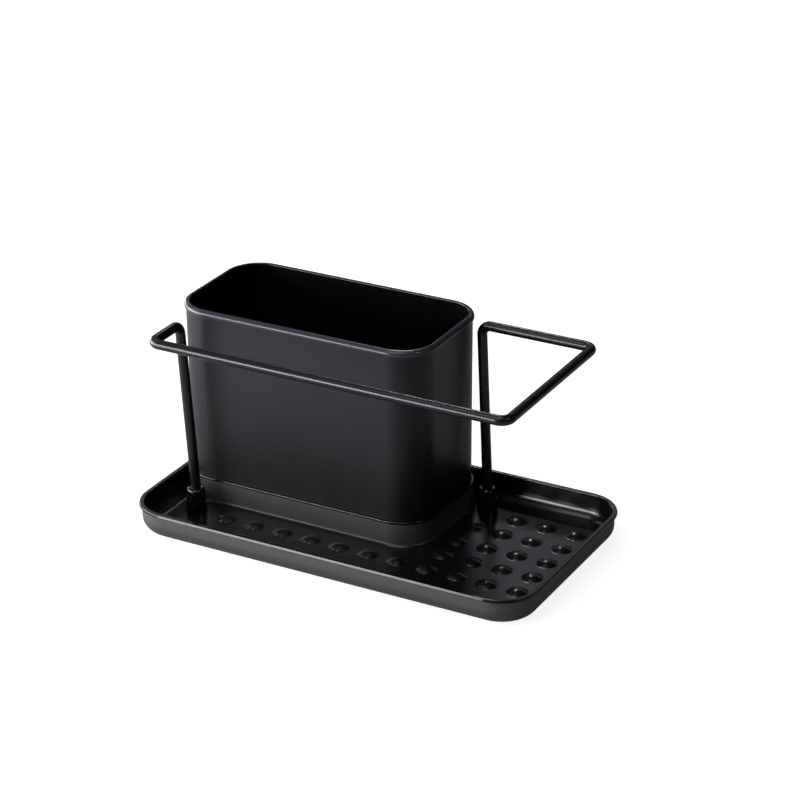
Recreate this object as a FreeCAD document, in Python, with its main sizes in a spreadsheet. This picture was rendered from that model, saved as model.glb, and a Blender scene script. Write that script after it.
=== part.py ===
import FreeCAD, Part
import math
import os

import Sketcher
from FreeCAD import Vector

# A kitchen sink caddy: a shallow tray with raised bumps, an open container that stands in a well
# on the tray's plinth, and a cloth rail, one bent bar whose two posts plug into sockets.
# Millimetres. Origin at the middle of the tray, on the surface the feet stand on.
# +X is to the right along the tray, +Y to the back and +Z up.

# Driving dimensions: name, value, what it measures
SIZES = (
    ("tray_length", 270.6, "tray over the lip, left to right"),
    ("tray_depth", 151, "tray over the lip, front to back"),
    ("tray_height", 18.2, "tray underside to the top of the lip"),
    ("tray_corner", 25, "corner radius of the lip in plan"),
    ("foot_rise", 1.2, "feet below the tray's underside"),
    ("lip_overhang", 1.7, "lip outside the wall"),
    ("lip_height", 1.9, "lip, top to underside"),
    ("lip_upright", 0.4, "upright band round the lip, under its leaning face"),
    ("lip_lean", 0.42, "lean of the lip's outer face, inwards to the top"),
    ("lip_round", 0.6, "rounding of the lip's outer edge, above"),
    ("lip_foot_round", 0.3, "rounding of the lip's outer edge, below"),
    ("lip_inner_round", 0.5, "rounding of the lip's inner edge"),
    ("tray_wall", 1.5, "wall of the tray"),
    ("tray_floor", 1.6, "floor of the tray"),
    ("bottom_round", 9, "rounding under the tray's wall, outside"),
    ("bump_pitch", 20, "bump to bump, both ways"),
    ("bump_first_x", -108.5, "first column of bumps"),
    ("bump_first_y", -52.2, "front row of bumps"),
    ("bump_radius", 7, "bump at its foot"),
    ("bump_height", 2.2, "bump above the floor"),
    ("bump_foot_round", 2, "hollow rounding at a bump's foot"),
    ("container_length", 169, "container body at its foot, left to right"),
    ("container_depth", 85, "container body at its foot, front to back"),
    ("container_height", 114.9, "container, underside to rim"),
    ("container_corner", 21.2, "corner radius of the container in plan"),
    ("container_draft", 0.75, "each wall's lean outwards, foot to rim"),
    ("container_x", -48, "middle of the container"),
    ("container_y", 27.9, "middle of the container"),
    ("container_wall", 2.6, "wall of the container"),
    ("container_floor", 2.2, "floor of the container"),
    ("container_foot_round", 1.5, "rounding under the container"),
    ("container_inner_round", 4, "rounding inside the container's floor"),
    ("rim_overhang", 0.95, "rim bead outside the container's wall"),
    ("rim_height", 4.2, "rim bead"),
    ("rim_round", 2.6, "rounding of the rim bead, above"),
    ("rim_foot_round", 1, "rounding of the rim bead, below"),
    ("rim_inner_round", 0.8, "rounding of the rim's inner edge"),
    ("drain_diameter", 6, "drain hole in the container's floor"),
    ("drain_pitch_x", 30, "drain hole to drain hole along a row"),
    ("drain_pitch_y", 36, "row of drain holes to row"),
    ("drain_columns", 5, "drain holes in a row"),
    ("plinth_top", 17.6, "plinth above the tray's underside"),
    ("plinth_border", 1.5, "border between the well and the plinth's face"),
    ("plinth_round", 0.6, "rounding of the border's outer edge"),
    ("plinth_foot_round", 2, "hollow rounding at the plinth's foot"),
    ("well_gap", 0.4, "gap round the container's foot in the well"),
    ("well_depth", 2.4, "well below the plinth's top"),
    ("well_floor", 2, "floor of the well"),
    ("cell_length", 24.8, "hollow under the plinth, left to right"),
    ("cell_depth", 24.2, "hollow under the plinth, front to back"),
    ("cell_rib", 2, "rib between hollows"),
    ("cell_first_x", -109.6, "first column of hollows"),
    ("cell_first_y", -2.4, "front row of hollows"),
    ("left_cell_length", 22.4, "hollow in the front left round corner, left to right"),
    ("left_cell_depth", 22.2, "hollow in the front left round corner, front to back"),
    ("right_cell_length", 18.6, "hollow in the front right round corner, left to right"),
    ("right_cell_depth", 17.9, "hollow in the front right round corner, front to back"),
    ("rear_cell_length", 20, "hollow in the rear right round corner, left to right"),
    ("front_socket_x", -111.5, "socket of the left post"),
    ("front_socket_y", -30.4, "socket of the left post"),
    ("rear_socket_x", 48, "socket of the rear post"),
    ("rear_socket_y", 53.8, "socket of the rear post"),
    ("socket_height", 15.5, "socket above the tray's floor"),
    ("socket_base_radius", 6.5, "socket at the floor"),
    ("socket_top_radius", 5.5, "socket at the top"),
    ("socket_round", 1.5, "rounding of the socket's top"),
    ("socket_bore_radius", 3.17, "bore that takes a post"),
    ("socket_bore_depth", 11, "depth of the bore"),
    ("socket_lead_in", 0.4, "chamfer at the bore's mouth"),
    ("screw_radius", 1.5, "socket screw's shank"),
    ("screw_head_radius", 2.8, "socket screw's head"),
    ("screw_head_edge", 0.2, "rim of the screw's head"),
    ("screw_length", 5.5, "socket screw over all"),
    ("screw_slot_length", 3.2, "one arm to the other of the cross recess"),
    ("screw_slot_width", 0.8, "width of the cross recess"),
    ("screw_slot_depth", 0.9, "depth of the cross recess"),
    ("bar_radius", 3.1, "rail bar"),
    ("bar_end_chamfer", 0.5, "chamfer at the bar's ends"),
    ("rail_height", 125.6, "middle of the rail above the tray's underside"),
    ("rail_left_x", -118.2, "left arm of the rail"),
    ("rail_right_x", 118, "right side of the rail"),
    ("rail_front_y", -61.8, "front bar of the rail"),
    ("rail_rear_x", 43.7, "top of the rear post"),
    ("bend_radius", 6, "bends of the rail, at the bar's middle"),
    ("lean_radius", 30, "slight bend above a socket, where the post leans"),
    ("lean_start", 2.5, "slight bend above the socket's top"),
    ("foot_x", 109.6, "foot from the middle of the tray"),
    ("foot_y", 50, "foot from the middle of the tray"),
    ("foot_radius", 6, "foot"),
    ("foot_round", 0.4, "rounding of a foot's lower edge"),
)

# Bumps by row from the front: first column and number of bumps
# The plinth takes up the left of the upper rows, and the sockets one place each.
BUMP_ROWS = ((0, 12), (1, 11), (8, 4), (8, 4), (8, 4), (9, 3))

# Full hollows under the plinth by row from the front: first column and number of hollows
# The front row's first place is a round corner, with a smaller hollow. The rear left foot stands
# under the last row's first place, which stays solid.
CELL_ROWS = ((1, 4), (0, 6), (1, 4))

doc = FreeCAD.newDocument("sink_caddy")
sheet = doc.addObject("Spreadsheet::Sheet", "sizes")
for row, (alias, value, note) in enumerate(SIZES, start=1):
    sheet.set("A%d" % row, note)
    sheet.set("B%d" % row, str(value))
    sheet.setAlias("B%d" % row, alias)
doc.recompute()


def size(alias):
    """The number in the sheet's cell."""
    return float(sheet.get(alias))


# Heights that several pieces share, as expressions on the sheet
UNDERSIDE = "sizes.foot_rise"
FLOOR_TOP = "sizes.foot_rise + sizes.tray_floor"
LIP_TOP = "sizes.foot_rise + sizes.tray_height"
WELL_FLOOR = "sizes.foot_rise + sizes.plinth_top - sizes.well_depth"
SOCKET_TOP = "sizes.foot_rise + sizes.tray_floor + sizes.socket_height"


# Sketches and features

def new_body(label):
    body = doc.addObject("PartDesign::Body", label)
    body.Label = label
    return body


def origin_feature(body, role):
    return next(item for item in body.Origin.OriginFeatures if item.Role == role)


def new_sketch(body, name, role, x="0", y="0", z="0"):
    """A sketch on one of the body's own planes, moved by expressions along the plane's own axes."""
    sketch = body.newObject("Sketcher::SketchObject", name)
    sketch.AttachmentSupport = [(origin_feature(body, role), "")]
    sketch.MapMode = "FlatFace"
    for axis, expression in zip("xyz", (x, y, z)):
        if expression != "0":
            sketch.setExpression("AttachmentOffset.Base." + axis, expression)
    return sketch


def dimension(sketch, name, expression, *constraint):
    index = sketch.addConstraint(Sketcher.Constraint(*constraint))
    sketch.renameConstraint(index, name)
    sketch.setExpression("Constraints." + name, expression)


def rounded_outline(body, name, length, depth, radius, x="0", y="0", z="0"):
    """A rectangle with round corners, about the sketch's own middle."""
    sketch = new_sketch(body, name, "XY_Plane", x, y, z)
    half_length, half_depth, corner = 90.0, 50.0, 20.0
    inner_x = half_length - corner
    inner_y = half_depth - corner
    corners = ((inner_x, -inner_y), (inner_x, inner_y), (-inner_x, inner_y), (-inner_x, -inner_y))
    sides = (
        (Vector(-inner_x, -half_depth), Vector(inner_x, -half_depth)),
        (Vector(half_length, -inner_y), Vector(half_length, inner_y)),
        (Vector(inner_x, half_depth), Vector(-inner_x, half_depth)),
        (Vector(-half_length, inner_y), Vector(-half_length, -inner_y)),
    )
    lines = []
    arcs = []
    for turn, (side, (cx, cy)) in enumerate(zip(sides, corners)):
        start = math.radians(90 * turn - 90)
        round_corner = Part.Circle(Vector(cx, cy), Vector(0, 0, 1), corner)
        lines.append(sketch.addGeometry(Part.LineSegment(*side)))
        arcs.append(sketch.addGeometry(Part.ArcOfCircle(round_corner, start, start + math.pi / 2)))
    for turn in range(4):
        following = lines[(turn + 1) % 4]
        direction = "Vertical" if turn % 2 else "Horizontal"
        sketch.addConstraint(Sketcher.Constraint("Tangent", lines[turn], 2, arcs[turn], 1))
        sketch.addConstraint(Sketcher.Constraint("Tangent", arcs[turn], 2, following, 1))
        sketch.addConstraint(Sketcher.Constraint(direction, lines[turn]))
    for turn in range(1, 4):
        sketch.addConstraint(Sketcher.Constraint("Equal", arcs[0], arcs[turn]))
    sketch.addConstraint(Sketcher.Constraint("Symmetric", arcs[0], 3, arcs[2], 3, -1, 1))
    dimension(sketch, "radius", radius, "Radius", arcs[0], corner)
    dimension(sketch, "length", length, "DistanceX", lines[3], 1, lines[1], 1, 2 * half_length)
    dimension(sketch, "depth", depth, "DistanceY", lines[0], 1, lines[2], 1, 2 * half_depth)
    return sketch


def rectangle(body, name, length, depth, x="0", y="0", z="0"):
    """A plain rectangle about the sketch's own middle."""
    sketch = new_sketch(body, name, "XY_Plane", x, y, z)
    corners = (Vector(-10, -10), Vector(10, -10), Vector(10, 10), Vector(-10, 10))
    for turn in range(4):
        sketch.addGeometry(Part.LineSegment(corners[turn], corners[(turn + 1) % 4]))
    for turn in range(4):
        direction = "Vertical" if turn % 2 else "Horizontal"
        sketch.addConstraint(Sketcher.Constraint("Coincident", turn, 2, (turn + 1) % 4, 1))
        sketch.addConstraint(Sketcher.Constraint(direction, turn))
    sketch.addConstraint(Sketcher.Constraint("Symmetric", 0, 1, 2, 1, -1, 1))
    dimension(sketch, "length", length, "DistanceX", 0, 1, 0, 2, 20)
    dimension(sketch, "depth", depth, "DistanceY", 1, 1, 1, 2, 20)
    return sketch


def circle(body, name, radius, x="0", y="0", z="0"):
    sketch = new_sketch(body, name, "XY_Plane", x, y, z)
    sketch.addGeometry(Part.Circle(Vector(0, 0), Vector(0, 0, 1), 5))
    sketch.addConstraint(Sketcher.Constraint("Coincident", 0, 3, -1, 1))
    dimension(sketch, "radius", radius, "Radius", 0, 5)
    return sketch


def turned_profile(body, name, corners):
    """A closed outline of straight lines in the XZ plane, from (radius, height) expressions."""
    sketch = new_sketch(body, name, "XZ_Plane")
    count = len(corners)
    start = [Vector(20 + 10 * math.cos(turn), 20 + 10 * math.sin(turn))
             for turn in (2 * math.pi * step / count for step in range(count))]
    for step in range(count):
        sketch.addGeometry(Part.LineSegment(start[step], start[(step + 1) % count]))
    for step in range(count):
        sketch.addConstraint(Sketcher.Constraint("Coincident", step, 2, (step + 1) % count, 1))
    for step, (radius, height) in enumerate(corners):
        if radius == "0":
            sketch.addConstraint(Sketcher.Constraint("PointOnObject", step, 1, -2))
        else:
            dimension(sketch, "radius%d" % step, radius, "DistanceX", -1, 1, step, 1, start[step].x)
        if height == "0":
            sketch.addConstraint(Sketcher.Constraint("PointOnObject", step, 1, -1))
        else:
            dimension(sketch, "height%d" % step, height, "DistanceY", -1, 1, step, 1, start[step].y)
    return sketch


def feature(body, kind, name, profile):
    item = body.newObject("PartDesign::" + kind, name)
    item.Profile = profile
    return item


def pad(body, name, profile, length):
    item = feature(body, "Pad", name, profile)
    item.setExpression("Length", length)
    doc.recompute()
    return item


def pocket(body, name, profile, depth, upward=False):
    item = feature(body, "Pocket", name, profile)
    item.Reversed = upward
    item.setExpression("Length", depth)
    doc.recompute()
    return item


def loft(body, kind, name, lower, upper):
    """A solid or a hollow between two outlines, with straight walls."""
    item = feature(body, kind, name, lower)
    item.Sections = [(upper, [""])]
    item.Ruled = True
    doc.recompute()
    return item


def revolve(body, name, profile):
    item = feature(body, "Revolution", name, profile)
    item.ReferenceAxis = (profile, ["V_Axis"])
    item.Angle = 360
    doc.recompute()
    return item


def row_of(body, name, original, pitch, count):
    """Copies of a feature in a row along X."""
    item = body.newObject("PartDesign::LinearPattern", name)
    item.Originals = [original]
    item.Direction = (origin_feature(body, "X_Axis"), [""])
    item.Occurrences = count
    item.setExpression("Length", "%s * %d" % (pitch, count - 1))
    body.Tip = item
    doc.recompute()
    return item


def flat_edges(base, height, within=None):
    """Names of the edges that lie level at a height, and inside a half length and depth if given."""
    names = []
    for index, edge in enumerate(base.Shape.Edges, start=1):
        box = edge.BoundBox
        inside = True
        if within:
            inside = (max(-box.XMin, box.XMax) < within[0] + 0.01
                      and max(-box.YMin, box.YMax) < within[1] + 0.01)
        if inside and abs(box.ZMin - height) < 0.001 and abs(box.ZMax - height) < 0.001:
            names.append("Edge%d" % index)
    return names


def dress(body, kind, name, base, edges, measure, expression):
    item = body.newObject("PartDesign::" + kind, name)
    item.Base = (base, edges)
    item.setExpression(measure, expression)
    doc.recompute()
    return item


def fillet(body, name, base, edges, radius):
    return dress(body, "Fillet", name, base, edges, "Radius", radius)


def chamfer(body, name, base, edges, breadth):
    return dress(body, "Chamfer", name, base, edges, "Size", breadth)


def bevel(body, name, base, edges, down, inward):
    """A leaning face along level edges: how far down the side it starts, and how far in it ends."""
    item = body.newObject("PartDesign::Chamfer", name)
    item.Base = (base, edges)
    item.ChamferType = "Two distances"
    item.setExpression("Size", down)
    item.setExpression("Size2", inward)
    doc.recompute()
    return item


def cut(name, base, tool):
    item = doc.addObject("Part::Cut", name)
    item.Base = base
    item.Tool = tool
    doc.recompute()
    return item


# Drip tray

def make_tray_form():
    """The tray's outside, with the lip, as a solid block."""
    body = new_body("tray_form")
    outline = rounded_outline(body, "lip_outline", "sizes.tray_length", "sizes.tray_depth",
                              "sizes.tray_corner", z=LIP_TOP + " - sizes.lip_height")
    lip = pad(body, "lip_pad", outline, "sizes.lip_height")
    lip_top = size("foot_rise") + size("tray_height")
    face = bevel(body, "lip_face", lip, flat_edges(lip, lip_top), "sizes.lip_height - sizes.lip_upright",
                 "sizes.lip_lean")
    crown = fillet(body, "lip_rounding", face, flat_edges(face, lip_top), "sizes.lip_round")
    edges = flat_edges(crown, lip_top - size("lip_height"))
    fillet(body, "lip_foot_rounding", crown, edges, "sizes.lip_foot_round")
    wall = rounded_outline(body, "wall_outline", "sizes.tray_length - 2 * sizes.lip_overhang",
                           "sizes.tray_depth - 2 * sizes.lip_overhang",
                           "sizes.tray_corner - sizes.lip_overhang", z=UNDERSIDE)
    wall_pad = pad(body, "wall_pad", wall, "sizes.tray_height - sizes.lip_height / 2")
    edges = flat_edges(wall_pad, size("foot_rise"))
    fillet(body, "bottom_rounding", wall_pad, edges, "sizes.bottom_round")
    return body


def make_basin_form():
    """The tray's inside as a block, with a flare at its mouth that rounds the lip's inner edge."""
    body = new_body("basin_form")
    inset = "2 * (sizes.lip_overhang + sizes.tray_wall)"
    flare = "2 * (sizes.lip_overhang + sizes.tray_wall - 1.5 * sizes.lip_inner_round)"
    corner = "sizes.tray_corner - sizes.lip_overhang - sizes.tray_wall"
    inside = rounded_outline(body, "basin_outline", "sizes.tray_length - " + inset,
                             "sizes.tray_depth - " + inset, corner, z=FLOOR_TOP)
    inside_pad = pad(body, "basin_pad", inside, "sizes.tray_height - sizes.tray_floor")
    edges = flat_edges(inside_pad, size("foot_rise") + size("tray_floor"))
    fillet(body, "basin_rounding", inside_pad, edges, "sizes.bottom_round - sizes.tray_wall")
    mouth_corner = corner + " + 1.5 * sizes.lip_inner_round"
    mouth = rounded_outline(body, "mouth_outline", "sizes.tray_length - " + flare,
                            "sizes.tray_depth - " + flare, mouth_corner, z=LIP_TOP)
    mouth_pad = pad(body, "mouth_pad", mouth, "sizes.lip_height")
    top = size("foot_rise") + size("tray_height")
    wall = size("lip_overhang") + size("tray_wall")
    inner_loop = (size("tray_length") / 2 - wall, size("tray_depth") / 2 - wall)
    edges = flat_edges(mouth_pad, top, inner_loop)
    fillet(body, "mouth_rounding", mouth_pad, edges, "sizes.lip_inner_round")
    return body


def make_plinth_form():
    """The plinth as a block on a wide plate: the plate lies in the floor, and its edge rounds the foot."""
    body = new_body("plinth_form")
    margin = "2 * (sizes.well_gap + sizes.plinth_border)"
    block = rounded_outline(body, "plinth_outline", "sizes.container_length + " + margin,
                            "sizes.container_depth + " + margin,
                            "sizes.container_corner + sizes.well_gap + sizes.plinth_border",
                            "sizes.container_x", "sizes.container_y", UNDERSIDE)
    block_pad = pad(body, "plinth_pad", block, "sizes.plinth_top")
    edges = flat_edges(block_pad, size("foot_rise") + size("plinth_top"))
    fillet(body, "border_rounding", block_pad, edges, "sizes.plinth_round")
    plate = rounded_outline(body, "plate_outline", "2 * sizes.tray_length", "2 * sizes.tray_depth",
                            "sizes.tray_corner", z=UNDERSIDE)
    plate_pad = pad(body, "plate_pad", plate, "sizes.tray_floor")
    floor_top = size("foot_rise") + size("tray_floor")
    edges = flat_edges(plate_pad, floor_top, (0.9 * size("tray_length"), 0.9 * size("tray_depth")))
    fillet(body, "plinth_foot", plate_pad, edges, "sizes.plinth_foot_round")
    return body


def bump_outline(body, name, x, y):
    """Half a bump: a cap that runs out through a hollow arc, tangent to the floor."""
    sketch = new_sketch(body, name, "XZ_Plane", x, FLOOR_TOP, "-(%s)" % y)
    foot, height, hollow = size("bump_radius"), size("bump_height"), size("bump_foot_round")
    cap = (foot ** 2 + height ** 2 - 2 * hollow * height) / (2 * height)
    turn = math.asin(foot / (cap + hollow))
    cap_arc = Part.ArcOfCircle(Part.Circle(Vector(0, height - cap), Vector(0, 0, 1), cap),
                               math.pi / 2 - turn, math.pi / 2)
    foot_arc = Part.ArcOfCircle(Part.Circle(Vector(foot, hollow), Vector(0, 0, 1), hollow),
                                1.5 * math.pi - turn, 1.5 * math.pi)
    root = -size("tray_floor") / 2
    sketch.addGeometry(cap_arc)
    sketch.addGeometry(foot_arc)
    sketch.addGeometry(Part.LineSegment(Vector(foot, 0), Vector(foot, root)))
    sketch.addGeometry(Part.LineSegment(Vector(foot, root), Vector(0, root)))
    sketch.addGeometry(Part.LineSegment(Vector(0, root), Vector(0, height)))
    for constraint in (("Tangent", 0, 1, 1, 1), ("Coincident", 1, 2, 2, 1), ("Coincident", 2, 2, 3, 1),
                       ("Coincident", 3, 2, 4, 1), ("Coincident", 4, 2, 0, 2), ("Vertical", 2),
                       ("Horizontal", 3), ("Vertical", 4), ("PointOnObject", 4, 2, -2),
                       ("PointOnObject", 0, 3, -2), ("PointOnObject", 1, 2, -1),
                       ("PointOnObject", 1, 3, 2)):
        sketch.addConstraint(Sketcher.Constraint(*constraint))
    dimension(sketch, "foot", "sizes.bump_radius", "DistanceX", -1, 1, 1, 2, foot)
    dimension(sketch, "height", "sizes.bump_height", "DistanceY", -1, 1, 0, 2, height)
    dimension(sketch, "hollow", "sizes.bump_foot_round", "Radius", 1, hollow)
    dimension(sketch, "root", "sizes.tray_floor / 2", "DistanceY", 2, 2, 2, 1, -root)
    return sketch


def make_cells(body):
    """Hollows under the plinth, with smaller ones behind the plinth's round corners."""
    height = "sizes.plinth_top - sizes.well_depth - sizes.well_floor"
    pitch_x = "(sizes.cell_length + sizes.cell_rib)"
    pitch_y = "(sizes.cell_depth + sizes.cell_rib)"
    for row, (first, count) in enumerate(CELL_ROWS):
        x = "sizes.cell_first_x + %d * %s" % (first, pitch_x)
        y = "sizes.cell_first_y + %d * %s" % (row, pitch_y)
        outline = rectangle(body, "cell_outline%d" % row, "sizes.cell_length", "sizes.cell_depth",
                            x, y, UNDERSIDE)
        cell = pocket(body, "cell%d" % row, outline, height, upward=True)
        row_of(body, "cell_row%d" % row, cell, pitch_x, count)
    last_left = "sizes.cell_first_x + 5 * %s - sizes.cell_length / 2" % pitch_x
    corner_cells = (
        ("sizes.left_cell_length", "sizes.left_cell_depth",
         "sizes.cell_first_x + (sizes.cell_length - sizes.left_cell_length) / 2",
         "sizes.cell_first_y + (sizes.cell_depth - sizes.left_cell_depth) / 2"),
        ("sizes.right_cell_length", "sizes.right_cell_depth",
         last_left + " + sizes.right_cell_length / 2",
         "sizes.cell_first_y + (sizes.cell_depth - sizes.right_cell_depth) / 2"),
        ("sizes.rear_cell_length", "sizes.cell_depth",
         last_left + " + sizes.rear_cell_length / 2",
         "sizes.cell_first_y + 2 * " + pitch_y),
    )
    for number, (length, depth, x, y) in enumerate(corner_cells):
        outline = rectangle(body, "corner_cell_outline%d" % number, length, depth, x, y, UNDERSIDE)
        pocket(body, "corner_cell%d" % number, outline, height, upward=True)


def make_drip_tray():
    hollow = cut("tray_hollow", make_basin_form(), make_plinth_form())
    shell = cut("tray_shell", make_tray_form(), hollow)
    body = new_body("drip_tray")
    body.BaseFeature = shell
    doc.recompute()
    well = rounded_outline(body, "well_outline", "sizes.container_length + 2 * sizes.well_gap",
                           "sizes.container_depth + 2 * sizes.well_gap",
                           "sizes.container_corner + sizes.well_gap",
                           "sizes.container_x", "sizes.container_y", LIP_TOP)
    pocket(body, "well", well, "sizes.tray_height - sizes.plinth_top + sizes.well_depth")
    for row, (first, count) in enumerate(BUMP_ROWS):
        x = "sizes.bump_first_x + %d * sizes.bump_pitch" % first
        y = "sizes.bump_first_y + %d * sizes.bump_pitch" % row
        bump = revolve(body, "bump%d" % row, bump_outline(body, "bump_outline%d" % row, x, y))
        row_of(body, "bump_row%d" % row, bump, "sizes.bump_pitch", count)
    make_cells(body)
    for place in ("front", "rear"):
        x = "sizes.%s_socket_x" % place
        y = "sizes.%s_socket_y" % place
        outline = circle(body, place + "_hole_outline", "sizes.screw_radius", x, y, UNDERSIDE)
        hole = pocket(body, place + "_hole", outline, "sizes.tray_floor", upward=True)
        middle = Vector(size(place + "_socket_x"), size(place + "_socket_y"), size("foot_rise"))
        rim = [name for name in flat_edges(hole, size("foot_rise"))
               if hole.Shape.getElement(name).BoundBox.Center.distanceToPoint(middle) < 0.01]
        chamfer(body, place + "_countersink", hole, rim, "sizes.screw_head_radius - sizes.screw_radius")
    return body


# Utensil container

def container_outline(body, name, growth, height):
    """The container's outline at a height, grown all round from its foot's outline."""
    return rounded_outline(body, name, "sizes.container_length + 2 * (%s)" % growth,
                           "sizes.container_depth + 2 * (%s)" % growth,
                           "sizes.container_corner + (%s)" % growth,
                           "sizes.container_x", "sizes.container_y", height)


def make_container():
    """The container: walls that lean out slightly, a rounded bead at the rim and drain holes."""
    body = new_body("utensil_container")
    foot = size("foot_rise") + size("plinth_top") - size("well_depth")
    top = foot + size("container_height")
    rim_top = WELL_FLOOR + " + sizes.container_height"
    rim = container_outline(body, "rim_outline", "sizes.container_draft + sizes.rim_overhang",
                            rim_top + " - sizes.rim_height")
    rim_pad = pad(body, "rim_pad", rim, "sizes.rim_height")
    crown = fillet(body, "rim_rounding", rim_pad, flat_edges(rim_pad, top), "sizes.rim_round")
    edges = flat_edges(crown, top - size("rim_height"))
    fillet(body, "rim_foot_rounding", crown, edges, "sizes.rim_foot_round")
    lower = container_outline(body, "foot_outline", "0", WELL_FLOOR)
    upper = container_outline(body, "shoulder_outline", "sizes.container_draft",
                              rim_top + " - sizes.rim_height / 2")
    outside = loft(body, "AdditiveLoft", "outside", lower, upper)
    fillet(body, "foot_rounding", outside, flat_edges(outside, foot), "sizes.container_foot_round")
    lower = container_outline(body, "inside_foot_outline", "-1 * sizes.container_wall",
                              WELL_FLOOR + " + sizes.container_floor")
    upper = container_outline(body, "inside_mouth_outline", "sizes.container_draft - sizes.container_wall",
                              rim_top)
    hollow = loft(body, "SubtractiveLoft", "inside", lower, upper)
    edges = flat_edges(hollow, foot + size("container_floor"))
    rounded = fillet(body, "inside_rounding", hollow, edges, "sizes.container_inner_round")
    fillet(body, "rim_inner_rounding", rounded, flat_edges(rounded, top), "sizes.rim_inner_round")
    for row, side in enumerate((-0.5, 0.5)):
        first = "sizes.container_x - sizes.drain_pitch_x * (sizes.drain_columns - 1) / 2"
        across = "sizes.container_y + sizes.drain_pitch_y * (%s)" % side
        outline = circle(body, "drain_outline%d" % row, "sizes.drain_diameter / 2",
                         first, across, WELL_FLOOR)
        hole = pocket(body, "drain%d" % row, outline, "sizes.container_floor", upward=True)
        row_of(body, "drain_row%d" % row, hole, "sizes.drain_pitch_x", int(size("drain_columns")))
    return body


# Cloth rail

def bent_path(corners, radii):
    """A wire through the corners, with an arc of the given radius at each inner corner."""
    edges = []
    start = corners[0]
    for before, corner, after, radius in zip(corners, corners[1:], corners[2:], radii):
        towards = (before - corner).normalize()
        onwards = (after - corner).normalize()
        half_angle = towards.getAngle(onwards) / 2
        reach = radius / math.tan(half_angle)
        middle = (towards + onwards).normalize() * (radius / math.sin(half_angle) - radius)
        arc_start = corner + towards * reach
        arc_end = corner + onwards * reach
        edges.append(Part.LineSegment(start, arc_start).toShape())
        edges.append(Part.Arc(arc_start, corner + middle, arc_end).toShape())
        start = arc_end
    edges.append(Part.LineSegment(start, corners[-1]).toShape())
    return Part.Wire(edges)


def make_cloth_rail():
    """One bar: left post, left arm, front bar, right side, back bar and rear post."""
    front_x, front_y = size("front_socket_x"), size("front_socket_y")
    rear_x, rear_y = size("rear_socket_x"), size("rear_socket_y")
    left, right, front = size("rail_left_x"), size("rail_right_x"), size("rail_front_y")
    top = size("foot_rise") + size("rail_height")
    socket_top = size("foot_rise") + size("tray_floor") + size("socket_height")
    end = socket_top - size("socket_bore_depth")
    lean = socket_top + size("lean_start")
    corners = [
        Vector(front_x, front_y, end),
        Vector(front_x, front_y, lean),
        Vector(left, front_y, top),
        Vector(left, front, top),
        Vector(right, front, top),
        Vector(right, rear_y, top),
        Vector(size("rail_rear_x"), rear_y, top),
        Vector(rear_x, rear_y, lean),
        Vector(rear_x, rear_y, end),
    ]
    bends = [size("lean_radius")] + 5 * [size("bend_radius")] + [size("lean_radius")]
    path = doc.addObject("Part::Feature", "rail_path")
    path.Shape = bent_path(corners, bends)
    section = doc.addObject("Part::Circle", "rail_section")
    section.setExpression("Radius", "sizes.bar_radius")
    section.setExpression("Placement.Base.x", "sizes.front_socket_x")
    section.setExpression("Placement.Base.y", "sizes.front_socket_y")
    section.setExpression("Placement.Base.z", SOCKET_TOP + " - sizes.socket_bore_depth")
    sweep = doc.addObject("Part::Sweep", "rail_sweep")
    sweep.Sections = [section]
    sweep.Spine = (path, ["Edge%d" % number for number in range(1, len(path.Shape.Edges) + 1)])
    sweep.Solid = True
    doc.recompute()
    expected = math.pi * size("bar_radius") ** 2 * path.Shape.Length
    print("rail volume / section times length: %.4f" % (sweep.Shape.Volume / expected))
    rail = doc.addObject("Part::Chamfer", "cloth_rail")
    rail.Label = "cloth_rail"
    rail.Base = sweep
    breadth = size("bar_end_chamfer")
    rail.Edges = [(int(name[4:]), breadth, breadth) for name in flat_edges(sweep, end)]
    doc.recompute()
    return rail


# Sockets and their screws

def place_body(body, place, height):
    body.setExpression("Placement.Base.x", "sizes.%s_socket_x" % place)
    body.setExpression("Placement.Base.y", "sizes.%s_socket_y" % place)
    body.setExpression("Placement.Base.z", height)
    doc.recompute()


def make_socket(place):
    body = new_body(place + "_socket")
    bore_floor = "sizes.socket_height - sizes.socket_bore_depth"
    profile = turned_profile(body, place + "_socket_profile", (
        ("sizes.screw_radius", "0"),
        ("sizes.socket_base_radius", "0"),
        ("sizes.socket_top_radius", "sizes.socket_height"),
        ("sizes.socket_bore_radius + sizes.socket_lead_in", "sizes.socket_height"),
        ("sizes.socket_bore_radius", "sizes.socket_height - sizes.socket_lead_in"),
        ("sizes.socket_bore_radius", bore_floor),
        ("sizes.screw_radius", bore_floor),
    ))
    turned = revolve(body, place + "_socket_turned", profile)
    edges = [name for name in flat_edges(turned, size("socket_height"))
             if abs(turned.Shape.getElement(name).Curve.Radius - size("socket_top_radius")) < 0.01]
    fillet(body, place + "_socket_rounding", turned, edges, "sizes.socket_round")
    place_body(body, place, FLOOR_TOP)
    return body


def make_screw(place):
    body = new_body(place + "_socket_screw")
    head_depth = "sizes.screw_head_radius - sizes.screw_radius"
    profile = turned_profile(body, place + "_screw_profile", (
        ("0", "0"),
        ("sizes.screw_head_radius - sizes.screw_head_edge", "0"),
        ("sizes.screw_head_radius - sizes.screw_head_edge", "sizes.screw_head_edge"),
        ("sizes.screw_radius", head_depth),
        ("sizes.screw_radius", "sizes.screw_length"),
        ("0", "sizes.screw_length"),
    ))
    revolve(body, place + "_screw_turned", profile)
    for name, length, depth in (("slot_across", "length", "width"), ("slot_along", "width", "length")):
        slot = rectangle(body, place + "_" + name, "sizes.screw_slot_" + length, "sizes.screw_slot_" + depth)
        pocket(body, place + "_" + name + "_cut", slot, "sizes.screw_slot_depth", upward=True)
    place_body(body, place, UNDERSIDE)
    return body


# Feet

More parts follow.
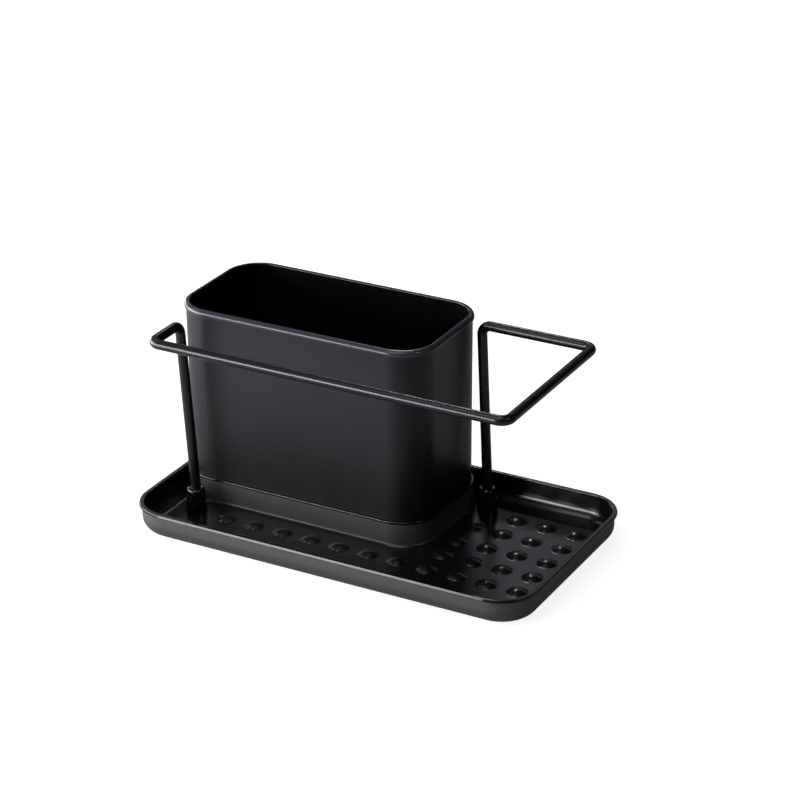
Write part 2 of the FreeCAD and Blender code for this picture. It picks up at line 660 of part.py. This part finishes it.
def make_foot(label, side, end):
    body = new_body(label)
    disc = pad(body, label + "_disc", circle(body, label + "_outline", "sizes.foot_radius"), UNDERSIDE)
    fillet(body, label + "_rounding", disc, flat_edges(disc, 0), "sizes.foot_round")
    body.setExpression("Placement.Base.x", "%d * sizes.foot_x" % side)
    body.setExpression("Placement.Base.y", "%d * sizes.foot_y" % end)
    doc.recompute()
    return body


pieces = [make_drip_tray(), make_container(), make_cloth_rail()]
for place in ("front", "rear"):
    pieces.append(make_socket(place))
    pieces.append(make_screw(place))
for end_name, end in (("front", -1), ("rear", 1)):
    for side_name, side in (("left", -1), ("right", 1)):
        pieces.append(make_foot("foot_%s_%s" % (end_name, side_name), side, end))

doc.recompute()
for item in doc.Objects:
    if "Invalid" in item.State or "Error" in item.State:
        raise RuntimeError("%s failed: %s" % (item.Label, item.State))
    if item.TypeId.startswith("PartDesign::") and hasattr(item, "Shape") and not item.Shape.isValid():
        raise RuntimeError("%s has a faulty shape" % item.Label)
for piece in pieces:
    if piece.Shape.isNull() or not piece.Shape.isValid() or len(piece.Shape.Solids) != 1:
        raise RuntimeError("%s is not one valid solid" % piece.Label)

boxes = {piece.Label: piece.Shape.optimalBoundingBox() for piece in pieces}
tray_box = boxes["drip_tray"]
for reach, alias in ((tray_box.XLength, "tray_length"), (tray_box.YLength, "tray_depth"),
                     (tray_box.ZLength, "tray_height")):
    if abs(reach - size(alias)) > 0.05:
        raise RuntimeError("the tray measures %.2f, not its %s" % (reach, alias))

os.makedirs("parts", exist_ok=True)
for piece in pieces:
    box = boxes[piece.Label]
    piece.Shape.exportStep("parts/%s.step" % piece.Label)
    print("%-20s %7.2f cm3  x %.1f to %.1f  y %.1f to %.1f  z %.1f to %.1f" % (
        piece.Label, piece.Shape.Volume / 1000, box.XMin, box.XMax, box.YMin, box.YMax, box.ZMin, box.ZMax))
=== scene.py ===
import math

import bpy
from mathutils import Matrix, Vector

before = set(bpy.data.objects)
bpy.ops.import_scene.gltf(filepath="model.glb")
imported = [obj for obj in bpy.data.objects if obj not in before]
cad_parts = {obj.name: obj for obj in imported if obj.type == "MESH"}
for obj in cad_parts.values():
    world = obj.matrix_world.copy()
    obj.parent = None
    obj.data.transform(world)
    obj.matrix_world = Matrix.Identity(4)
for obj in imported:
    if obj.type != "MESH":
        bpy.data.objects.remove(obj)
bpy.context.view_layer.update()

# A black sink caddy: drip tray, lift-out container and plug-in cloth rail.
# The CAD solids carry every shape; this file gives them their finishes, the light and the view.
# Lengths are metres in the CAD frame, and sizes within a finish are millimetres.

MILLIMETRE = 0.001
# Middles in plan; the container and the plinth that it stands on share theirs
TRAY_CENTRE = (0.0, 0.0)
CONTAINER_CENTRE = (-48.0, 27.9)
# A height that no point reaches, so that a mask in plan takes no notice of height
FAR_UP = 1000.0
FLOOR_REACH = 6.0

# Socket numbers of the Mix node, whose sockets share their names
FACTOR = 0
FIRST_VALUE = 2
SECOND_VALUE = 3
FIRST_COLOUR = 6
SECOND_COLOUR = 7
MIXED_COLOUR = 2


def linear(hex_colour):
    """An sRGB hex colour as linear RGBA."""
    channels = [int(hex_colour[at:at + 2], 16) / 255 for at in (1, 3, 5)]
    straight = [c / 12.92 if c <= 0.04045 else ((c + 0.055) / 1.055) ** 2.4 for c in channels]
    return (*straight, 1.0)


def node(tree, kind, settings=(), links=()):
    """Adds a node with its settings and links; inputs that share a name go by number."""
    made = tree.nodes.new(kind)
    for name, value in dict(settings).items():
        if isinstance(name, str) and hasattr(made, name):
            setattr(made, name, value)
        else:
            made.inputs[name].default_value = value
    for name, output in dict(links).items():
        tree.links.new(output, made.inputs[name])
    return made


def new_material(name):
    """An empty material, with the surface point in millimetres as its starting output."""
    material = bpy.data.materials.new(name)
    material.use_nodes = True
    tree = material.node_tree
    tree.nodes.clear()
    place = node(tree, "ShaderNodeTexCoord")
    point = node(tree, "ShaderNodeVectorMath", {"operation": "SCALE", "Scale": 1 / MILLIMETRE},
                 {"Vector": place.outputs["Object"]})
    return material, tree, point.outputs["Vector"]


def shade(tree, settings, links):
    """The shader and the material's output."""
    shader = node(tree, "ShaderNodeBsdfPrincipled", settings, links)
    node(tree, "ShaderNodeOutputMaterial", {}, {"Surface": shader.outputs["BSDF"]})


def inside_outline(tree, point, centre, half_length, half_depth, corner, blur):
    """A mask in plan: 1 inside a rectangle with round corners, 0 outside, blurred across its edge."""
    offset = node(tree, "ShaderNodeVectorMath", {"operation": "SUBTRACT", 1: (*centre, 0.0)},
                  {0: point})
    folded = node(tree, "ShaderNodeVectorMath", {"operation": "ABSOLUTE"}, {0: offset.outputs[0]})
    corner_centre = (half_length - corner, half_depth - corner, FAR_UP)
    beyond = node(tree, "ShaderNodeVectorMath", {"operation": "SUBTRACT", 1: corner_centre},
                  {0: folded.outputs[0]})
    outside = node(tree, "ShaderNodeVectorMath", {"operation": "MAXIMUM", 1: (0.0, 0.0, 0.0)},
                   {0: beyond.outputs[0]})
    reach = node(tree, "ShaderNodeVectorMath", {"operation": "LENGTH"}, {0: outside.outputs[0]})
    mask = node(tree, "ShaderNodeMapRange",
                {"From Min": corner + blur / 2, "From Max": corner - blur / 2},
                {"Value": reach.outputs["Value"]})
    return mask.outputs["Result"]


# Materials

def tray_plastic():
    """Injection-moulded ABS: grained outer wall, part-polished plinth, polished lip and basin."""
    # The eye sees a dark satin grey wall under a bright lip, and a deep black basin with soft
    # reflections.
    material, tree, point = new_material("moulded_abs_tray")
    upright = node(tree, "ShaderNodeSeparateXYZ", {}, {0: point})
    basin = inside_outline(tree, point, TRAY_CENTRE, half_length=132.9, half_depth=73.1,
                           corner=22.6, blur=0.8)
    # Only what faces up or sideways is basin; the wall that curves under it keeps the grain
    facing = node(tree, "ShaderNodeNewGeometry")
    tilt = node(tree, "ShaderNodeSeparateXYZ", {}, {0: facing.outputs["Normal"]})
    open_side = node(tree, "ShaderNodeMapRange", {"From Min": -0.20, "From Max": -0.05},
                     {"Value": tilt.outputs["Z"]})
    basin_face = node(tree, "ShaderNodeMath", {"operation": "MULTIPLY"},
                      {0: basin, 1: open_side.outputs["Result"]})
    # The plinth keeps some of the grain
    plinth = inside_outline(tree, point, CONTAINER_CENTRE, half_length=86.7, half_depth=44.7,
                            corner=23.4, blur=0.4)
    basin_polish = node(tree, "ShaderNodeMapRange", {"To Min": 1.0, "To Max": 0.30},
                        {"Value": plinth})
    # The outer wall is smoother and darker towards its foot; the darkening is painted shade
    painted_foot_shade = node(tree, "ShaderNodeMapRange",
                       {"From Min": 15.0, "From Max": 3.0, "To Min": 0.0, "To Max": 0.55},
                       {"Value": upright.outputs["Z"]})
    moulding = node(tree, "ShaderNodeMix", {},
                    {FACTOR: basin_face.outputs[0], FIRST_VALUE: painted_foot_shade.outputs["Result"],
                     SECOND_VALUE: basin_polish.outputs["Result"]})
    # The lip starts a little over 17 mm up, and is polished all round
    lip = node(tree, "ShaderNodeMapRange", {"From Min": 17.2, "From Max": 17.5},
               {"Value": upright.outputs["Z"]})
    # This mask also carries the painted shade at the outer wall's foot
    polished = node(tree, "ShaderNodeMath", {"operation": "MAXIMUM"},
                    {0: moulding.outputs[0], 1: lip.outputs["Result"]})
    # Mould grain: 0.3 mm in the tool, drawn at 0.7 mm so that it shows
    grain = node(tree, "ShaderNodeTexNoise", {"Scale": 1 / 0.7, "Detail": 2.0}, {"Vector": point})
    # Cloudy change of gloss where the moulding cooled, about 35 mm across
    cloud = node(tree, "ShaderNodeTexNoise", {"Scale": 1 / 35, "Detail": 3.0}, {"Vector": point})
    satin = node(tree, "ShaderNodeMapRange", {"To Min": 0.48, "To Max": 0.58},
                 {"Value": cloud.outputs["Fac"]})
    polish = node(tree, "ShaderNodeMapRange", {"To Min": 0.20, "To Max": 0.26},
                  {"Value": cloud.outputs["Fac"]})
    lip_roughness = 0.15
    smooth = node(tree, "ShaderNodeMix", {SECOND_VALUE: lip_roughness},
                  {FACTOR: lip.outputs["Result"], FIRST_VALUE: polish.outputs["Result"]})
    roughness = node(tree, "ShaderNodeMix", {},
                     {FACTOR: polished.outputs[0], FIRST_VALUE: satin.outputs["Result"],
                      SECOND_VALUE: smooth.outputs[0]})
    grain_left = node(tree, "ShaderNodeMapRange", {"To Min": 1.0, "To Max": 0.05},
                      {"Value": polished.outputs[0]})
    relief = node(tree, "ShaderNodeBump", {"Distance": 0.02 * MILLIMETRE},
                  {"Height": grain.outputs["Fac"], "Strength": grain_left.outputs["Result"]})
    grey = node(tree, "ShaderNodeMix",
                {"data_type": "RGBA", FIRST_COLOUR: linear("#3b3b3c"),
                 SECOND_COLOUR: linear("#414142")},
                {FACTOR: grain.outputs["Fac"]})
    # Dark where polished, and darker towards the outer wall's foot as painted shade
    colour = node(tree, "ShaderNodeMix", {"data_type": "RGBA", SECOND_COLOUR: linear("#0c0c0e")},
                  {FACTOR: polished.outputs[0], FIRST_COLOUR: grey.outputs[MIXED_COLOUR]})
    shade(tree, {"IOR": 1.53},
          {"Base Color": colour.outputs[MIXED_COLOUR], "Roughness": roughness.outputs[0],
           "Normal": relief.outputs[0]})
    return material


def container_plastic():
    """Injection-moulded polypropylene with a fine spark-eroded texture."""
    # The eye sees a satin blue-black, with wide soft gradients down the walls.
    material, tree, point = new_material("moulded_polypropylene_container")
    upright = node(tree, "ShaderNodeSeparateXYZ", {}, {0: point})
    # Spark texture: 0.25 mm pits, drawn at 0.6 mm so that they show
    grain = node(tree, "ShaderNodeTexNoise", {"Scale": 1 / 0.6, "Detail": 2.0}, {"Vector": point})
    # Flow of the melt up the walls: streaks 18 mm wide and 120 mm tall
    stretched = node(tree, "ShaderNodeMapping",
                     {"vector_type": "POINT", "Scale": (1 / 18, 1 / 18, 1 / 120)},
                     {"Vector": point})
    flow = node(tree, "ShaderNodeTexNoise", {"Scale": 1.0, "Detail": 3.0},
                {"Vector": stretched.outputs[0]})
    # The core side of the mould is polished, so the inside is smoother than the outside
    inside = inside_outline(tree, point, CONTAINER_CENTRE, half_length=83.2, half_depth=41.2,
                            corner=19.9, blur=1.0)
    outer = node(tree, "ShaderNodeMapRange", {"To Min": 0.33, "To Max": 0.40},
                 {"Value": flow.outputs["Fac"]})
    inner = node(tree, "ShaderNodeMapRange", {"To Min": 0.14, "To Max": 0.20},
                 {"Value": flow.outputs["Fac"]})
    walls = node(tree, "ShaderNodeMix", {},
                 {FACTOR: inside, FIRST_VALUE: outer.outputs["Result"],
                  SECOND_VALUE: inner.outputs["Result"]})
    # The rim's top and outer edge are smoother, and a lighter grey there is a painted sheen
    rim = node(tree, "ShaderNodeMapRange", {"From Min": 126.6, "From Max": 127.6},
               {"Value": upright.outputs["Z"]})
    rim_sheen_band = node(tree, "ShaderNodeMath", {"operation": "SUBTRACT", "use_clamp": True},
                   {0: rim.outputs["Result"], 1: inside})
    rim_roughness = 0.22
    roughness = node(tree, "ShaderNodeMix", {SECOND_VALUE: rim_roughness},
                     {FACTOR: rim_sheen_band.outputs[0], FIRST_VALUE: walls.outputs[0]})
    relief = node(tree, "ShaderNodeBump", {"Strength": 0.6, "Distance": 0.02 * MILLIMETRE},
                  {"Height": grain.outputs["Fac"]})
    black = node(tree, "ShaderNodeMix",
                 {"data_type": "RGBA", FIRST_COLOUR: linear("#060608"),
                  SECOND_COLOUR: linear("#0a0a0c")},
                 {FACTOR: flow.outputs["Fac"]})
    # Painted sheen: the rim band is a lighter blue-grey
    colour = node(tree, "ShaderNodeMix", {"data_type": "RGBA", SECOND_COLOUR: linear("#323238")},
                  {FACTOR: rim_sheen_band.outputs[0], FIRST_COLOUR: black.outputs[MIXED_COLOUR]})
    shade(tree, {"IOR": 1.49, "Specular Tint": linear("#f3f1ff")},
          {"Base Color": colour.outputs[MIXED_COLOUR], "Roughness": roughness.outputs[0],
           "Normal": relief.outputs[0]})
    return material


def coated_steel():
    """Mild steel bar under a satin black powder coat."""
    # The eye sees a slightly uneven black skin, with a long soft highlight that wavers.
    material, tree, point = new_material("powder_coated_steel")
    # Orange peel of the cured powder, 1.4 mm across
    peel = node(tree, "ShaderNodeTexNoise", {"Scale": 1 / 1.4, "Detail": 1.0}, {"Vector": point})
    # Fine grit left by the powder, drawn at 0.5 mm so that it shows
    grit = node(tree, "ShaderNodeTexNoise", {"Scale": 1 / 0.5, "Detail": 2.0}, {"Vector": point})
    relief = node(tree, "ShaderNodeBump", {"Strength": 0.5, "Distance": 0.05 * MILLIMETRE},
                  {"Height": peel.outputs["Fac"]})
    skin = node(tree, "ShaderNodeBump", {"Strength": 0.2, "Distance": 0.02 * MILLIMETRE},
                {"Height": grit.outputs["Fac"], "Normal": relief.outputs[0]})
    roughness = node(tree, "ShaderNodeMapRange", {"To Min": 0.22, "To Max": 0.32},
                     {"Value": grit.outputs["Fac"]})
    colour = node(tree, "ShaderNodeMix",
                  {"data_type": "RGBA", FIRST_COLOUR: linear("#09090a"),
                   SECOND_COLOUR: linear("#0e0e10")},
                  {FACTOR: peel.outputs["Fac"]})
    shade(tree, {"IOR": 1.5, "Specular Tint": linear("#f3f2ff")},
          {"Base Color": colour.outputs[MIXED_COLOUR], "Roughness": roughness.outputs["Result"],
           "Normal": skin.outputs[0]})
    return material


def socket_plastic():
    """ABS from a polished tool."""
    # The eye sees a wet-looking black with small sharp lights on its shoulder.
    material, tree, point = new_material("polished_abs_socket")
    # Handling haze in patches 4 mm across
    haze = node(tree, "ShaderNodeTexNoise", {"Scale": 1 / 4, "Detail": 3.0}, {"Vector": point})
    roughness = node(tree, "ShaderNodeMapRange", {"To Min": 0.05, "To Max": 0.10},
                     {"Value": haze.outputs["Fac"]})
    ripple = node(tree, "ShaderNodeBump", {"Strength": 0.1, "Distance": 0.05 * MILLIMETRE},
                  {"Height": haze.outputs["Fac"]})
    colour = node(tree, "ShaderNodeMix",
                  {"data_type": "RGBA", FIRST_COLOUR: linear("#070708"),
                   SECOND_COLOUR: linear("#0b0b0c")},
                  {FACTOR: haze.outputs["Fac"]})
    shade(tree, {"IOR": 1.53},
          {"Base Color": colour.outputs[MIXED_COLOUR], "Roughness": roughness.outputs["Result"],
           "Normal": ripple.outputs[0]})
    return material


def screw_steel():
    """Zinc-plated steel, turned."""
    # The eye sees a pale bluish metal with dull patches.
    material, tree, point = new_material("zinc_plated_steel")
    # Crystal patches of the plating, 0.8 mm across
    patch = node(tree, "ShaderNodeTexVoronoi", {"Scale": 1 / 0.8}, {"Vector": point})
    roughness = node(tree, "ShaderNodeMapRange", {"To Min": 0.28, "To Max": 0.42},
                     {"Value": patch.outputs["Distance"]})
    colour = node(tree, "ShaderNodeMix",
                  {"data_type": "RGBA", FIRST_COLOUR: linear("#b9bcc0"),
                   SECOND_COLOUR: linear("#9fa3a8")},
                  {FACTOR: patch.outputs["Distance"]})
    shade(tree, {"Metallic": 1.0},
          {"Base Color": colour.outputs[MIXED_COLOUR], "Roughness": roughness.outputs["Result"]})
    return material


def foot_rubber():
    """Moulded synthetic rubber, tacky and matt."""
    # The eye sees a dull charcoal with a fine dusty bloom.
    material, tree, point = new_material("moulded_rubber_foot")
    # Bloom in specks 0.6 mm across
    bloom = node(tree, "ShaderNodeTexNoise", {"Scale": 1 / 0.6, "Detail": 3.0}, {"Vector": point})
    roughness = node(tree, "ShaderNodeMapRange", {"To Min": 0.75, "To Max": 0.92},
                     {"Value": bloom.outputs["Fac"]})
    relief = node(tree, "ShaderNodeBump", {"Strength": 0.5, "Distance": 0.04 * MILLIMETRE},
                  {"Height": bloom.outputs["Fac"]})
    colour = node(tree, "ShaderNodeMix",
                  {"data_type": "RGBA", FIRST_COLOUR: linear("#242424"),
                   SECOND_COLOUR: linear("#303030")},
                  {FACTOR: bloom.outputs["Fac"]})
    shade(tree, {"IOR": 1.52},
          {"Base Color": colour.outputs[MIXED_COLOUR], "Roughness": roughness.outputs["Result"],
           "Normal": relief.outputs[0]})
    return material


finishes = (
    (tray_plastic(), ("drip_tray",)),
    (container_plastic(), ("utensil_container",)),
    (coated_steel(), ("cloth_rail",)),
    (socket_plastic(), ("front_socket", "rear_socket")),
    (screw_steel(), ("front_socket_screw", "rear_socket_screw")),
    (foot_rubber(), ("foot_front_left", "foot_front_right", "foot_rear_left", "foot_rear_right")),
)
for material, pieces in finishes:
    for piece in pieces:
        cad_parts[piece].data.materials.clear()
        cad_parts[piece].data.materials.append(material)


# Floor and room

def floor_paint():
    """Matt pale studio floor that keeps the shadow and reads white to the camera."""
    material, tree, point = new_material("matt_white_floor")
    paint = node(tree, "ShaderNodeBsdfDiffuse", {"Color": linear("#b4b4b4")})
    # White far off, and a little less around the object so that its shadow shows
    reach = node(tree, "ShaderNodeVectorMath", {"operation": "LENGTH"}, {0: point})
    whiteness = node(tree, "ShaderNodeMapRange",
                     {"From Min": 250.0, "From Max": 600.0, "To Min": 0.85, "To Max": 1.0},
                     {"Value": reach.outputs["Value"]})
    path = node(tree, "ShaderNodeLightPath")
    seen = node(tree, "ShaderNodeMath", {"operation": "MAXIMUM"},
                {0: path.outputs["Is Camera Ray"], 1: path.outputs["Is Transmission Ray"]})
    # Gloss shows the floor little brighter than its paint, so that black plastic stays black
    gloss_share = 0.04
    mirrored = node(tree, "ShaderNodeMath", {"operation": "MULTIPLY", 1: gloss_share},
                    {0: path.outputs["Is Glossy Ray"]})
    lift = node(tree, "ShaderNodeMath", {"operation": "MULTIPLY_ADD"},
                {0: seen.outputs[0], 1: whiteness.outputs["Result"], 2: mirrored.outputs[0]})
    glow = node(tree, "ShaderNodeEmission", {}, {"Strength": lift.outputs[0]})
    both = node(tree, "ShaderNodeAddShader", {}, {0: paint.outputs[0], 1: glow.outputs[0]})
    node(tree, "ShaderNodeOutputMaterial", {}, {"Surface": both.outputs[0]})
    return material


floor_corners = [(-FLOOR_REACH, -FLOOR_REACH, 0), (FLOOR_REACH, -FLOOR_REACH, 0),
                 (FLOOR_REACH, FLOOR_REACH, 0), (-FLOOR_REACH, FLOOR_REACH, 0)]
floor_mesh = bpy.data.meshes.new("studio_floor")
floor_mesh.from_pydata(floor_corners, [], [(0, 1, 2, 3)])
floor_mesh.materials.append(floor_paint())
floor = bpy.data.objects.new("studio_floor", floor_mesh)
bpy.context.collection.objects.link(floor)


def studio_room():
    """Dim room with a pale band on its left, for soft reflections, and white to the camera."""
    world = bpy.data.worlds.new("studio_room")
    bpy.context.scene.world = world
    world.use_nodes = True
    tree = world.node_tree
    tree.nodes.clear()
    place = node(tree, "ShaderNodeTexCoord")
    way = node(tree, "ShaderNodeSeparateXYZ", {}, {0: place.outputs["Generated"]})
    # The band lies about 21 to 30 degrees up, and fades out towards the right
    dim = 0.05
    rise = node(tree, "ShaderNodeMapRange",
                {"From Min": 0.36, "From Max": 0.39, "To Min": dim, "To Max": 0.70},
                {"Value": way.outputs["Z"]})
    fall = node(tree, "ShaderNodeMapRange",
                {"From Min": 0.45, "From Max": 0.50, "To Min": 1.0, "To Max": dim},
                {"Value": way.outputs["Z"]})
    band = node(tree, "ShaderNodeMath", {"operation": "MULTIPLY"},
                {0: rise.outputs["Result"], 1: fall.outputs["Result"]})
    left = node(tree, "ShaderNodeMapRange",
                {"From Min": 0.30, "From Max": 0.0, "To Min": 0.07, "To Max": 1.0},
                {"Value": way.outputs["X"]})
    light = node(tree, "ShaderNodeMath", {"operation": "MULTIPLY"},
                 {0: band.outputs[0], 1: left.outputs["Result"]})
    path = node(tree, "ShaderNodeLightPath")
    seen = node(tree, "ShaderNodeMath", {"operation": "MAXIMUM"},
                {0: path.outputs["Is Camera Ray"], 1: path.outputs["Is Transmission Ray"]})
    level = node(tree, "ShaderNodeMix", {SECOND_VALUE: 1.0},
                 {FACTOR: seen.outputs[0], FIRST_VALUE: light.outputs[0]})
    tint = node(tree, "ShaderNodeMix",
                {"data_type": "RGBA", FIRST_COLOUR: linear("#eeedff"),
                 SECOND_COLOUR: linear("#ffffff")},
                {FACTOR: seen.outputs[0]})
    room = node(tree, "ShaderNodeBackground", {},
                {"Color": tint.outputs[MIXED_COLOUR], "Strength": level.outputs[0]})
    node(tree, "ShaderNodeOutputWorld", {}, {"Surface": room.outputs[0]})


studio_room()


# Lamps

def towards(azimuth, elevation):
    """A direction from the object in degrees: azimuth 0 is to the front and 90 to the right."""
    turn = math.radians(azimuth)
    rise = math.radians(elevation)
    return Vector((math.sin(turn) * math.cos(rise), -math.cos(turn) * math.cos(rise), math.sin(rise)))


def softbox(name, azimuth, elevation, distance, breadth, height, power):
    """A rectangular lamp that faces the object; its power is in watts."""
    place = towards(azimuth, elevation) * distance
    light = bpy.data.lights.new(name, "AREA")
    light.shape = "RECTANGLE"
    light.size = breadth
    light.size_y = height
    light.energy = power
    lamp = bpy.data.objects.new(name, light)
    bpy.context.collection.objects.link(lamp)
    lamp.location = place
    lamp.rotation_euler = (-place).to_track_quat("-Z", "Y").to_euler()


# Low boxes in front and on the left shade the walls, and the lamps above give the small glints
softbox("key_softbox", azimuth=-27, elevation=9.7, distance=1.4,
        breadth=0.45, height=0.46, power=11.4)
softbox("near_left_softbox", azimuth=-63, elevation=13.8, distance=0.9,
        breadth=0.75, height=0.42, power=10.8)
softbox("left_window", azimuth=-100, elevation=6.1, distance=1.3,
        breadth=1.2, height=0.26, power=7.8)
softbox("front_high_softbox", azimuth=-10, elevation=68, distance=1.6,
        breadth=1.0, height=1.0, power=7.5)
softbox("left_high_lamp", azimuth=-98, elevation=48, distance=1.5,
        breadth=0.4, height=0.4, power=1.0)
softbox("right_lamp", azimuth=78, elevation=40, distance=1.6,
        breadth=0.25, height=0.25, power=1.5)
softbox("rear_lamp", azimuth=-151, elevation=44, distance=1.7,
        breadth=0.12, height=0.12, power=2.5)


# Camera

def photo_camera():
    """A camera at the photograph's viewing angle."""
    azimuth = 28.86
    elevation = 24.95
    roll = math.radians(-0.49)
    place = (0.7211, -1.2784, 0.7721)
    back = towards(azimuth, elevation)
    level_right = Vector((math.cos(math.radians(azimuth)), math.sin(math.radians(azimuth)), 0.0))
    level_up = back.cross(level_right)
    right = level_right * math.cos(roll) + level_up * math.sin(roll)
    up = back.cross(right)
    data = bpy.data.cameras.new("photo_camera")
    data.sensor_width = 36.0
    data.lens = 121.6
    data.clip_start = 0.05
    data.clip_end = 50.0
    camera = bpy.data.objects.new("photo_camera", data)
    bpy.context.collection.objects.link(camera)
    turn = Matrix((right, up, back)).transposed().to_4x4()
    camera.matrix_world = Matrix.Translation(place) @ turn
    bpy.context.scene.camera = camera


photo_camera()
bpy.context.scene.view_settings.view_transform = "Standard"
